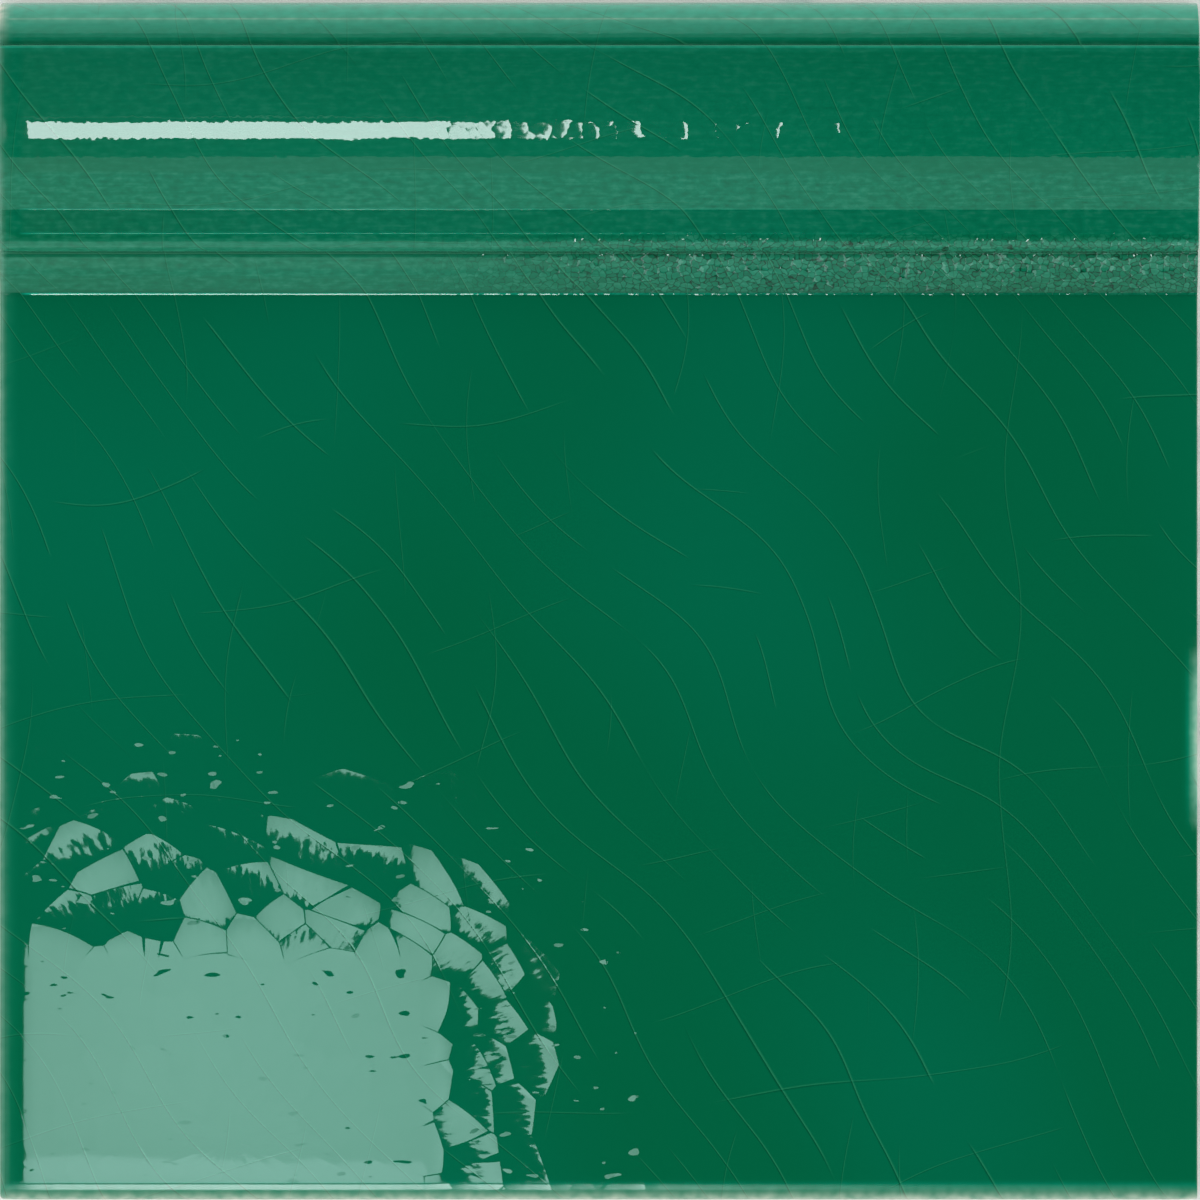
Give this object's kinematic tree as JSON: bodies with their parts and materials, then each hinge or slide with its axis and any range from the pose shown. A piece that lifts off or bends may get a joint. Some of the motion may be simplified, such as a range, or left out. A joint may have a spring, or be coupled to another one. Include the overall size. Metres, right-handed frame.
{
  "type": "skirting tile",
  "caption": "Square glazed ceramic skirting tile: a flat field under a moulded head with a bold roll, a lip, a ledge and an ovolo, with a keyed and relieved back.",
  "frame": {"origin": "middle of the tile's back, on the surface that it lies on", "axes": "+X along the wall, +Y up the wall to the moulded head, +Z out of the wall, towards the glazed face"},
  "size_m": [0.152, 0.152, 0.0207],
  "materials": {
    "glazed_body": "glossy dark green crackle glaze on a pale ceramic body"
  },
  "bodies": {
    "root": {"skirting_tile": "glazed_body"}
  },
  "joints": []
}
